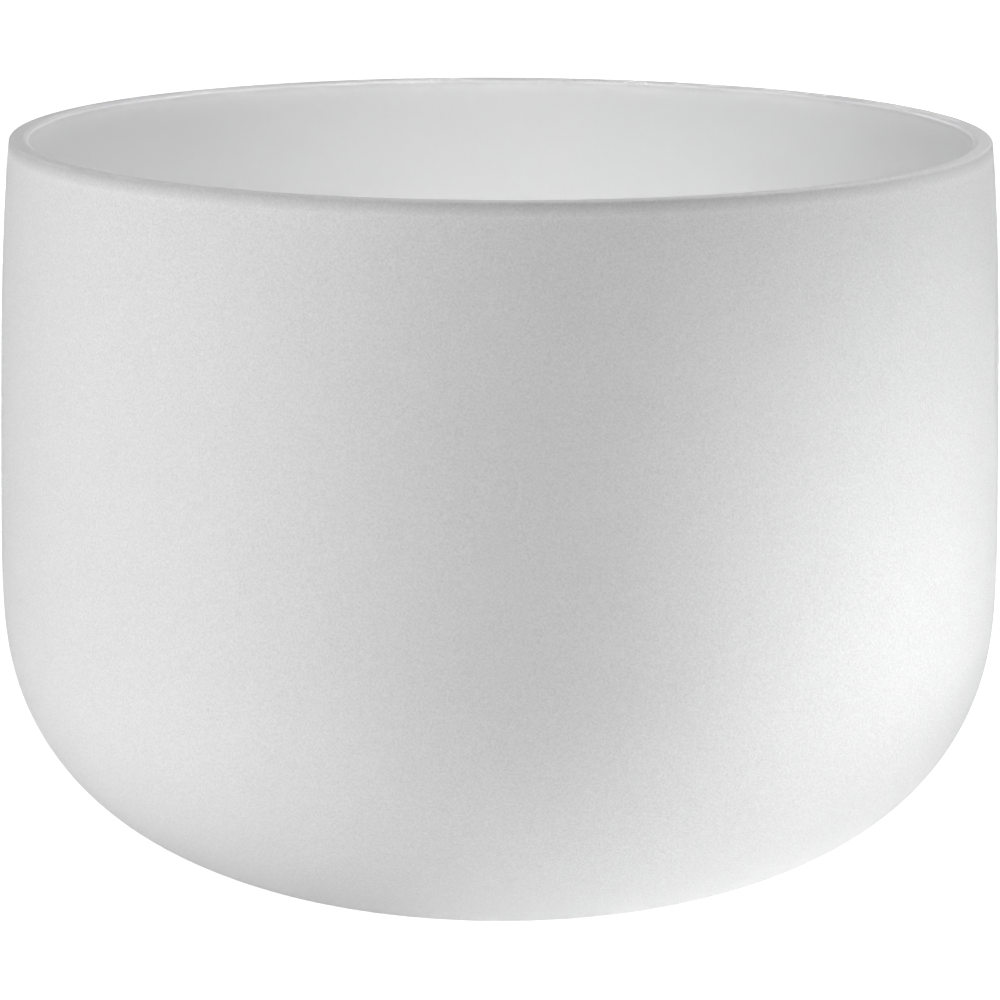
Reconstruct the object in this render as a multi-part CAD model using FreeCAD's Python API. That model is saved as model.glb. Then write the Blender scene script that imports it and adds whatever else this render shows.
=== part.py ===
import FreeCAD, Part
import os

# Crystal singing bowl: one thick-walled vessel of fused quartz, spun in a
# single piece.  Everything on it is a surface of revolution about +Z.
# Frame: +Z up along the bowl's axis, origin at the centre of the flat foot
# that the bowl stands on.  All lengths are in millimetres.

V = FreeCAD.Vector

# ---- driving dimensions ----------------------------------------------------

WIDEST_RADIUS = 152.5     # outer radius of the belly: a 305 mm (12 inch) bowl
HEIGHT = 230.5            # foot to rim
RIM_RADIUS = 148.9        # outer radius at the rim, where the wall leans in
FOOT_RADIUS = 42.0        # flat disc that touches the table
WALL = 6.0                # thickness of the side wall and of the rim
FLOOR = 8.0               # thickness of the floor over the foot
BELLY_HEIGHT = 75.0       # by this height it has thinned to the wall's thickness
RIM_OUTER_ROUND = 0.9     # the ground rim's outside edge, broken lightly
RIM_INNER_ROUND = 2.0     # its inside edge, eased more

INNER_STEPS = 14          # points that carry the inner outline
LEVEL = 0.01              # how near to the rim's plane an edge counts as on it

# Control points of the outer outline, foot to rim, as radius and height.
# The first leg is level, so the curve leaves the foot without a corner.
OUTER_POLES = (
    (FOOT_RADIUS, 0.0),
    (FOOT_RADIUS + 20.5, 0.0),
    (95.0, 8.0),                       # shallow underside
    (132.0, 30.5),                     # turning up
    (WIDEST_RADIUS + 0.5, 67.0),       # out to the belly
    (WIDEST_RADIUS, 112.5),            # widest part of the wall
    (WIDEST_RADIUS - 0.7, 204.0),      # almost straight wall
    (RIM_RADIUS, HEIGHT),              # drawn in at the rim
)
DEGREE = 3


def section(radius, height):
    """A point of the half section, which lies in the XZ plane."""
    return V(radius, 0, height)


def outer_outline():
    """One smooth cubic curve from the edge of the foot to the rim."""
    poles = [section(radius, height) for radius, height in OUTER_POLES]
    spans = len(poles) - DEGREE
    knots = [i / spans for i in range(spans + 1)]
    repeats = [DEGREE + 1] + [1] * (spans - 1) + [DEGREE + 1]
    curve = Part.BSplineCurve()
    curve.buildFromPolesMultsKnots(poles, repeats, knots, False, DEGREE)
    return curve


def thickness(height):
    """Wall thickness where the outer surface is at this height."""
    share = max(0.0, 1.0 - height / BELLY_HEIGHT)
    return WALL + (FLOOR - WALL) * share ** 2


def inner_outline(outer):
    """The outer outline moved inwards by the thickness, foot to rim."""
    points = []
    for i in range(INNER_STEPS):
        along = i / (INNER_STEPS - 1)
        surface = outer.value(along)
        tangent = outer.tangent(along)[0]
        inward = V(-tangent.z, 0, tangent.x)
        points.append(surface + inward * thickness(surface.z))
    # The last point runs on along the wall until it is level with the rim.
    rise = (HEIGHT - points[-1].z) / tangent.z
    points[-1] = points[-1] + tangent * rise
    # Unit tangents suit the interpolation's own measure, which is length.
    level = V(1, 0, 0)
    curve = Part.BSplineCurve()
    curve.interpolate(points, InitialTangent=level, FinalTangent=tangent, Scale=False)
    return curve


def rim_circles(shape):
    """The circles that lie level with the rim, widest first."""
    circles = [
        edge for edge in shape.Edges
        if edge.BoundBox.ZMin > HEIGHT - LEVEL and edge.BoundBox.ZMax < HEIGHT + LEVEL
        and edge.BoundBox.XMin < 0
    ]
    circles.sort(key=lambda edge: edge.BoundBox.XMax, reverse=True)
    return circles


def line(start, end):
    """A straight edge of the half section."""
    return Part.LineSegment(start, end).toShape()


def make_bowl():
    """The whole bowl: half section, turned round, with a softened rim."""
    outer = outer_outline()
    inner = inner_outline(outer)
    floor_edge = inner.value(inner.FirstParameter)
    rim_inside = inner.value(inner.LastParameter)
    outline = Part.Wire([
        line(section(0, 0), section(FOOT_RADIUS, 0)),
        outer.toShape(),
        line(section(RIM_RADIUS, HEIGHT), rim_inside),
        Part.Edge(inner.toShape().reversed()),
        line(floor_edge, section(0, FLOOR)),
        line(section(0, FLOOR), section(0, 0)),
    ])
    turned = Part.Face(outline).revolve(V(0, 0, 0), V(0, 0, 1), 360)
    eased = turned.makeFillet(RIM_OUTER_ROUND, [rim_circles(turned)[0]])
    return eased.makeFillet(RIM_INNER_ROUND, [rim_circles(eased)[-1]])


def write(shape, node):
    """Write one node's solid, after checking that it is a sound one."""
    solid = shape.Solids[0]
    if len(shape.Solids) != 1 or not solid.isValid():
        raise RuntimeError(node + " is not one valid solid")
    solid.exportStep(os.path.join("parts", node + ".step"))
    box = solid.optimalBoundingBox(False)
    print(node, "volume cm3", round(solid.Volume / 1000, 1),
          "size", round(box.XLength, 2), round(box.YLength, 2), round(box.ZLength, 2))


os.makedirs("parts", exist_ok=True)
write(make_bowl(), "bowl")
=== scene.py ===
import math
from collections import namedtuple
import bpy
from mathutils import Matrix, Vector


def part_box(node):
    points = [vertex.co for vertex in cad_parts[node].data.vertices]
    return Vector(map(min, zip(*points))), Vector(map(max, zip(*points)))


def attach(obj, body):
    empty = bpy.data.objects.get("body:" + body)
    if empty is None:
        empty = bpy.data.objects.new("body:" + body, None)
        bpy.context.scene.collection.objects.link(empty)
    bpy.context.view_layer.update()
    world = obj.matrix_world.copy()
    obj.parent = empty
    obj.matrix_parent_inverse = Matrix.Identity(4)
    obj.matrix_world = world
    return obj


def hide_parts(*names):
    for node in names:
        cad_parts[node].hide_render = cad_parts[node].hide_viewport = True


# Looks of the crystal singing bowl.  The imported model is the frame: it gives
# the widest radius and the height, and the outline below is the CAD part's.
# Metres throughout, +Z up, origin at the centre of the foot.

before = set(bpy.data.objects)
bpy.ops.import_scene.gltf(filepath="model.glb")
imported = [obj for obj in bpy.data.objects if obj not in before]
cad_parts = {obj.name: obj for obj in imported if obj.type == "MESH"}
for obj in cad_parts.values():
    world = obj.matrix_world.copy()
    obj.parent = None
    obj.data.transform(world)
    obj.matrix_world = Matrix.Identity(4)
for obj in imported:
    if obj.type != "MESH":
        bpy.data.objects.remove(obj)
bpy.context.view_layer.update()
low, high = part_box("bowl")

# ---- sizes -------------------------------------------------------------------

WIDEST = (high.x - low.x) / 2       # outer radius of the belly
HEIGHT = high.z                     # foot to rim
RIM = WIDEST - 0.0036               # outer radius at the rim
FOOT = 0.042                        # radius of the flat foot
WALL = 0.006                        # side wall and rim
FLOOR = 0.008                       # floor over the foot
BELLY_HEIGHT = 0.075                # the floor has thinned to the wall here
OUTER_ROUND = 0.0009                # the ground rim's outside edge, broken lightly
BEVEL_WIDTH = 0.0018                # its inside edge is bevelled: across the rim
BEVEL_DROP = 0.0007                 # and down the wall
ARRIS_ROUND = 0.0006                # where the rim meets the bevel
BEVEL_ROUND = 0.0006                # where the bevel meets the inside

# Control points of the outer outline, foot to rim, as radius and height.
OUTER_POLES = (
    (FOOT, 0.0),
    (FOOT + 0.0205, 0.0),
    (0.095, 0.008),
    (0.132, 0.0305),
    (WIDEST + 0.0005, 0.067),
    (WIDEST, 0.1125),
    (WIDEST - 0.0007, 0.204),
    (RIM, HEIGHT),
)
DEGREE = 3

QUARTZ_IOR = 1.458
LIGHT_REACH = 0.012                 # how far light wanders inside the milky wall
PEBBLE = 0.0006                     # width of the frosted skin's lumps
PEBBLE_RELIEF = 0.00025             # and their height
CLOUD = 0.035                       # width of the faint cloudy patches
CLOUD_DEPTH = 0.03                  # how far they vary the tone
OCTAVES = 2                         # layers of finer noise in both,
OCTAVE_SHARE = 0.55                 # each this much of the one before

AROUND = 320                        # mesh faces round the bowl
WALL_ROWS = 96                      # rows of faces up each wall
ROUND_ROWS = 6                      # rows over each rounded edge of the rim
FLAT_ROWS = 8                       # rows across the foot, the floor and the rim
BEVEL_ROWS = 4                      # rows down the bevel
LIP_FADE = 1 / 6                    # share of the wall's next rows where the lip's look fades

# ---- looks of the skin ---------------------------------------------------------

# tone: how much light it gives back; speckle: how far its grain varies the tone;
# relief: height of the grain; milkiness: share of the light that soaks through
# the wall rather than turning back at the skin.  Each row of the mesh has one
# look, and between two rows one look passes into the other.
Look = namedtuple("Look", "tone speckle relief roughness milkiness")

OUTSIDE = Look(tone=0.90, speckle=0.36, relief=1.0, roughness=0.62, milkiness=1.0)
# The outer edge's darker tone is partly the ground skin's own and partly painted shade: the thin dark
# line where the broken edge turns up, away from the light.
OUTER_EDGE_PAINTED_SHADE = Look(tone=0.64, speckle=0.24, relief=0.8, roughness=0.65, milkiness=0.5)
# The ground rim and the bevel are darker in tone: partly the ground skin's own, partly painted shade
# for the little light that falls on the rim from above.
GROUND_RIM_PAINTED_SHADE = Look(tone=0.65, speckle=0.06, relief=0.4, roughness=0.65, milkiness=0.0)
BEVEL = Look(tone=0.69, speckle=0.04, relief=0.3, roughness=0.7, milkiness=0.0)
LIP = Look(tone=0.85, speckle=0.04, relief=0.2, roughness=0.65, milkiness=0.8)
INSIDE = Look(tone=0.95, speckle=0.04, relief=0.2, roughness=0.42, milkiness=1.0)


# ---- outline -----------------------------------------------------------------

def spline(poles, along):
    """(point, unit tangent) of a clamped uniform cubic, along from 0 to 1."""
    spans = len(poles) - DEGREE
    knots = [0.0] * DEGREE + [i / spans for i in range(spans + 1)] + [1.0] * DEGREE
    span = min(int(along * spans), spans - 1) + DEGREE
    work = [Vector(poles[span - DEGREE + i]) for i in range(DEGREE + 1)]
    for level in range(1, DEGREE + 1):
        if level == DEGREE:
            tangent = (work[-1] - work[-2]).normalized()
        for i in range(DEGREE, level - 1, -1):
            start = knots[span - DEGREE + i]
            share = (along - start) / (knots[span + 1 + i - level] - start)
            work[i] = work[i - 1].lerp(work[i], share)
    return work[-1], tangent


def thickness(height):
    """Wall thickness where the outer surface is at this height."""
    share = max(0.0, 1.0 - height / BELLY_HEIGHT)
    return WALL + (FLOOR - WALL) * share ** 2


def rounded(before, corner, after, radius):
    """Points of the arc that rounds a corner of the outline."""
    back, on = (before - corner).normalized(), (after - corner).normalized()
    half = back.angle(on) / 2
    centre = corner + (back + on).normalized() * (radius / math.sin(half))
    start = corner + back * (radius / math.tan(half)) - centre
    end = corner + on * (radius / math.tan(half)) - centre
    turn = math.pi - 2 * half
    points = []
    for i in range(ROUND_ROWS + 1):
        share = i / ROUND_ROWS
        mix = start * math.sin((1 - share) * turn) + end * math.sin(share * turn)
        points.append(centre + mix / math.sin(turn))
    return points


def straight(start, end, rows):
    """Evenly spaced points between start and end, without either."""
    return [start.lerp(end, i / rows) for i in range(1, rows)]


def walls():
    """The two curves of the half section, each from the foot to the rim."""
    samples = [spline(OUTER_POLES, i / WALL_ROWS) for i in range(WALL_ROWS + 1)]
    outer = [point for point, _ in samples]
    inner = [
        point + Vector((-tangent.y, tangent.x)) * thickness(point.y)
        for point, tangent in samples
    ]
    lean = samples[-1][1]
    inner[-1] += lean * ((HEIGHT - inner[-1].y) / lean.y)
    return outer, inner


def half_section():
    """The whole outline as (point, look), underside axis to floor axis."""
    outer, inner = walls()
    lean = (outer[-1] - outer[-2]).normalized()
    bevel_top = inner[-1] + Vector((BEVEL_WIDTH, 0))
    bevel_foot = inner[-1] - lean * (BEVEL_DROP / lean.y)
    outer_round = rounded(outer[-2], outer[-1], bevel_top, OUTER_ROUND)
    top_round = rounded(outer[-1], bevel_top, bevel_foot, ARRIS_ROUND)
    foot_round = rounded(bevel_top, bevel_foot, inner[-3], BEVEL_ROUND)

    stretches = [
        ([Vector((0, 0))] + straight(Vector((0, 0)), outer[0], FLAT_ROWS), OUTSIDE),
        (outer[:-1], OUTSIDE),
        # The outer edge, the ground rim and the bevel carry painted shade in their darker tones.
        (outer_round, OUTER_EDGE_PAINTED_SHADE),
        (straight(outer_round[-1], top_round[0], FLAT_ROWS), GROUND_RIM_PAINTED_SHADE),
        (top_round, GROUND_RIM_PAINTED_SHADE),
        (straight(top_round[-1], foot_round[0], BEVEL_ROWS), BEVEL),
        (foot_round, LIP),
        ([foot_round[-1].lerp(inner[-3], LIP_FADE)], INSIDE),
        (inner[-3::-1], INSIDE),
        (straight(inner[0], Vector((0, FLOOR)), FLAT_ROWS) + [Vector((0, FLOOR))], INSIDE),
    ]
    return [(point, look) for points, look in stretches for point in points]


# ---- the bowl ----------------------------------------------------------------

def turned_mesh(name, outline):
    """A mesh of the outline turned about +Z; its two ends lie on the axis."""
    verts, faces = [(0, 0, outline[0].y)], []
    for point in outline[1:-1]:
        for i in range(AROUND):
            angle = 2 * math.pi * i / AROUND
            verts.append((point.x * math.cos(angle), point.x * math.sin(angle), point.y))
    verts.append((0, 0, outline[-1].y))
    rings = len(outline) - 2
    for i in range(AROUND):
        j = (i + 1) % AROUND
        faces.append((0, 1 + j, 1 + i))
        for ring in range(rings - 1):
            here, above = 1 + ring * AROUND, 1 + (ring + 1) * AROUND
            faces.append((here + i, here + j, above + j, above + i))
        last = 1 + (rings - 1) * AROUND
        faces.append((last + i, last + j, len(verts) - 1))
    mesh = bpy.data.meshes.new(name)
    mesh.from_pydata(verts, [], faces)
    mesh.shade_smooth()
    return mesh


def keep_looks(mesh, looks):
    """Keep each row's look on a turned mesh, one attribute for each value."""
    for field in Look._fields:
        rows = [getattr(look, field) for look in looks]
        values = [rows[0]] + [value for value in rows[1:-1] for _ in range(AROUND)] + [rows[-1]]
        mesh.attributes.new(field, "FLOAT", "POINT").data.foreach_set("value", values)


def node(tree, kind, inputs=None, **settings):
    """A shader node with its settings; each input is a value or a socket."""
    made = tree.nodes.new("ShaderNode" + kind)
    for name, value in settings.items():
        setattr(made, name, value)
    for key, value in (inputs or {}).items():
        if isinstance(value, bpy.types.NodeSocket):
            tree.links.new(value, made.inputs[key])
        else:
            made.inputs[key].default_value = value
    return made


def calculate(tree, operation, *values):
    """The result of a Math node on values or sockets."""
    return node(tree, "Math", dict(enumerate(values)), operation=operation).outputs[0]


def kept(tree, field):
    """One value of the looks kept on the mesh."""
    return node(tree, "Attribute", attribute_name=field).outputs["Fac"]


def grain(tree, place, size):
    """Noise centred on zero with lumps about this size, in metres."""
    inputs = {"Vector": place, "Scale": 1 / size, "Detail": OCTAVES, "Roughness": OCTAVE_SHARE}
    noise = node(tree, "TexNoise", inputs)
    return calculate(tree, "SUBTRACT", noise.outputs["Fac"], 0.5)


def quartz_material():
    """Milky fused quartz: light soaks through the wall, and the skin differs.

    Outside it is sand frosted, with fine pebbled grain.  The rim is ground
    smooth; its darker tone is partly its own and partly painted shade.  The
    inside is satin, with hardly any grain.
    """
    material = bpy.data.materials.new("quartz_bowl")
    material.use_nodes = True
    tree = material.node_tree
    shader = tree.nodes["Principled BSDF"]
    shader.inputs["Subsurface Radius"].default_value = (1, 1, 1)
    shader.inputs["Subsurface Scale"].default_value = LIGHT_REACH
    shader.inputs["IOR"].default_value = QUARTZ_IOR

    place = node(tree, "TexCoord").outputs["Object"]
    pebbles = grain(tree, place, PEBBLE)
    clouds = grain(tree, place, CLOUD)
    tone = calculate(tree, "MULTIPLY_ADD", pebbles, kept(tree, "speckle"), kept(tree, "tone"))
    tone = calculate(tree, "MULTIPLY_ADD", clouds, CLOUD_DEPTH, tone)
    colour = node(tree, "CombineColor", {0: tone, 1: tone, 2: tone})
    tree.links.new(colour.outputs[0], shader.inputs["Base Color"])
    tree.links.new(kept(tree, "roughness"), shader.inputs["Roughness"])
    tree.links.new(kept(tree, "milkiness"), shader.inputs["Subsurface Weight"])

    height = calculate(tree, "MULTIPLY", pebbles, kept(tree, "relief"))
    bump = node(tree, "Bump", {"Height": height, "Strength": 1, "Distance": PEBBLE_RELIEF})
    tree.links.new(bump.outputs[0], shader.inputs["Normal"])
    return material


def make_bowl():
    outline = half_section()
    mesh = turned_mesh("quartz_bowl", [point for point, _ in outline])
    keep_looks(mesh, [look for _, look in outline])
    mesh.materials.append(quartz_material())
    bowl = bpy.data.objects.new("quartz_bowl", mesh)
    bpy.context.scene.collection.objects.link(bowl)
    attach(bowl, "root")
    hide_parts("bowl")
    return bowl


# ---- stage, light, camera ----------------------------------------------------

SWEEP_RADIUS = 9
SWEEP_BEND = 3                      # radius of the curve from floor to wall
SWEEP_HEIGHT = 9
SWEEP_ROWS = 12                     # rows of faces up that curve
SWEEP_TONE = 0.6
SWEEP_GLOW = 0.88
ROOM_LIGHT = 0.093

MIDDLE = Vector((0, 0, HEIGHT / 2))
STUDIO = 1.6                        # most softboxes are this far from the middle,
OVERHEAD = 3                        # the large ones overhead this far
CLOSE = 0.9                         # and the gridded ones this close
MEDIUM_BOX = 0.55                   # sides of the softboxes
LARGE_BOX = 1
SMALL_BOX = 0.3
OPEN = 180                          # degrees that a softbox without a grid spreads over
GRID = 29                           # and one with the usual grid

CAMERA_SIDE = 0.00014               # the camera is this far to the right of the axis
CAMERA_BACK = 1.83                  # this far in front of it
CAMERA_HEIGHT = 0.4636              # and this high, aimed level with
AIM_HEIGHT = 0.1176
SENSOR = 36                         # millimetres
LENS = 218.3                        # millimetres
ROLL = 0.0035                       # radians, anticlockwise
NEAREST, FARTHEST = 0.05, 60        # what the camera can see


def make_camera():
    data = bpy.data.cameras.new("camera")
    data.lens = LENS
    data.sensor_width = SENSOR
    data.clip_start, data.clip_end = NEAREST, FARTHEST
    camera = bpy.data.objects.new("camera", data)
    bpy.context.scene.collection.objects.link(camera)
    camera.location = (CAMERA_SIDE, -CAMERA_BACK, CAMERA_HEIGHT)
    aim = Vector((CAMERA_SIDE, 0, AIM_HEIGHT)) - camera.location
    turn = aim.to_track_quat("-Z", "Y").to_matrix() @ Matrix.Rotation(ROLL, 3, "Z")
    camera.rotation_euler = turn.to_euler()
    bpy.context.scene.camera = camera


def make_sweep():
    """A round white studio, floor and wall in one, lit by its own glow."""
    corner = Vector((SWEEP_RADIUS - SWEEP_BEND, SWEEP_BEND))
    bend = []
    for i in range(SWEEP_ROWS + 1):
        turn = math.pi / 2 * i / SWEEP_ROWS
        bend.append(corner + Vector((math.sin(turn), -math.cos(turn))) * SWEEP_BEND)
    wall_top, roof = Vector((SWEEP_RADIUS, SWEEP_HEIGHT)), Vector((0, SWEEP_HEIGHT))
    mesh = turned_mesh("sweep", [Vector((0, 0))] + bend + [wall_top, roof])
    sweep = bpy.data.objects.new("sweep", mesh)
    bpy.context.scene.collection.objects.link(sweep)
    material = bpy.data.materials.new("sweep")
    material.use_nodes = True
    shader = material.node_tree.nodes["Principled BSDF"]
    shader.inputs["Base Color"].default_value = (SWEEP_TONE, SWEEP_TONE, SWEEP_TONE, 1)
    shader.inputs["Roughness"].default_value = 1
    shader.inputs["Specular IOR Level"].default_value = 0
    shader.inputs["Emission Color"].default_value = (1, 1, 1, 1)
    shader.inputs["Emission Strength"].default_value = SWEEP_GLOW
    mesh.materials.append(material)
    # The softboxes stand in for the light that it would bounce.
    sweep.visible_diffuse = False
    sweep.visible_glossy = False
    sweep.visible_transmission = False
    sweep.visible_shadow = False


def make_world():
    world = bpy.data.worlds.new("studio")
    bpy.context.scene.world = world
    world.use_nodes = True
    background = world.node_tree.nodes["Background"]
    background.inputs["Color"].default_value = (1, 1, 1, 1)
    background.inputs["Strength"].default_value = ROOM_LIGHT


def around(azimuth, elevation, distance=STUDIO):
    """A place seen from the bowl's middle: azimuth 0 is in front, 90 to the right."""
    turn, lift = math.radians(azimuth), math.radians(elevation)
    level = math.cos(lift)
    way = Vector((math.sin(turn) * level, -math.cos(turn) * level, math.sin(lift)))
    return MIDDLE + way * distance


def softbox(name, place, power, aim=MIDDLE, size=MEDIUM_BOX, grid=OPEN):
    """A square softbox of this power in watts; grid is how many degrees it spreads over."""
    data = bpy.data.lights.new(name, "AREA")
    data.energy = power
    data.size = size
    data.spread = math.radians(grid)
    light = bpy.data.objects.new(name, data)
    bpy.context.scene.collection.objects.link(light)
    light.location = place
    light.rotation_euler = (aim - place).to_track_quat("-Z", "Y").to_euler()
    light.visible_camera = False


def make_lights():
    # Round the bowl, level or low.
    softbox("key_left", around(-45, -8), 11.6)
    softbox("side_left", around(-90, -8), 4.2)
    softbox("low_right", around(90, -30), 7.7)
    softbox("behind", around(180, -8), 12.9)
    softbox("under", around(0, -80), 2.4)
    # Overhead.
    softbox("top_left", around(-70, 45, OVERHEAD), 5.8, size=LARGE_BOX)
    softbox("top_right", around(70, 45, OVERHEAD), 6.6, size=LARGE_BOX)
    softbox("top_behind", around(180, 60, OVERHEAD), 23.5, size=LARGE_BOX)
    softbox("top_behind_right", around(135, 60, OVERHEAD), 30, size=LARGE_BOX)
    # A narrow one into the bowl, onto the far wall.
    softbox("into_bowl", around(0, 60), 0.08, Vector((0, 0.12, 0.12)), size=0.1, grid=14)
    # Gridded ones, which make the soft diagonal edge of light at the lower right.
    softbox("front_right", around(45, 20, CLOSE), 0.355, Vector((0.177, 0.177, -0.1)), SMALL_BOX, GRID)
    softbox("front", around(0, 20, CLOSE), 1.34, Vector((0.45, 0, -0.1)), SMALL_BOX, GRID)
    softbox("under_right", around(90, -25, CLOSE), 6.05, Vector((0, 0, -0.25)), SMALL_BOX, GRID)
    # A small one on the floor in front to the right, shining straight up.
    softbox("table_bounce", Vector((0.247, -0.247, 0)), 0.24, Vector((0.247, -0.247, 1)), 0.15)


make_bowl()
make_sweep()
make_world()
make_lights()
make_camera()
bpy.context.scene.view_settings.view_transform = "Standard"
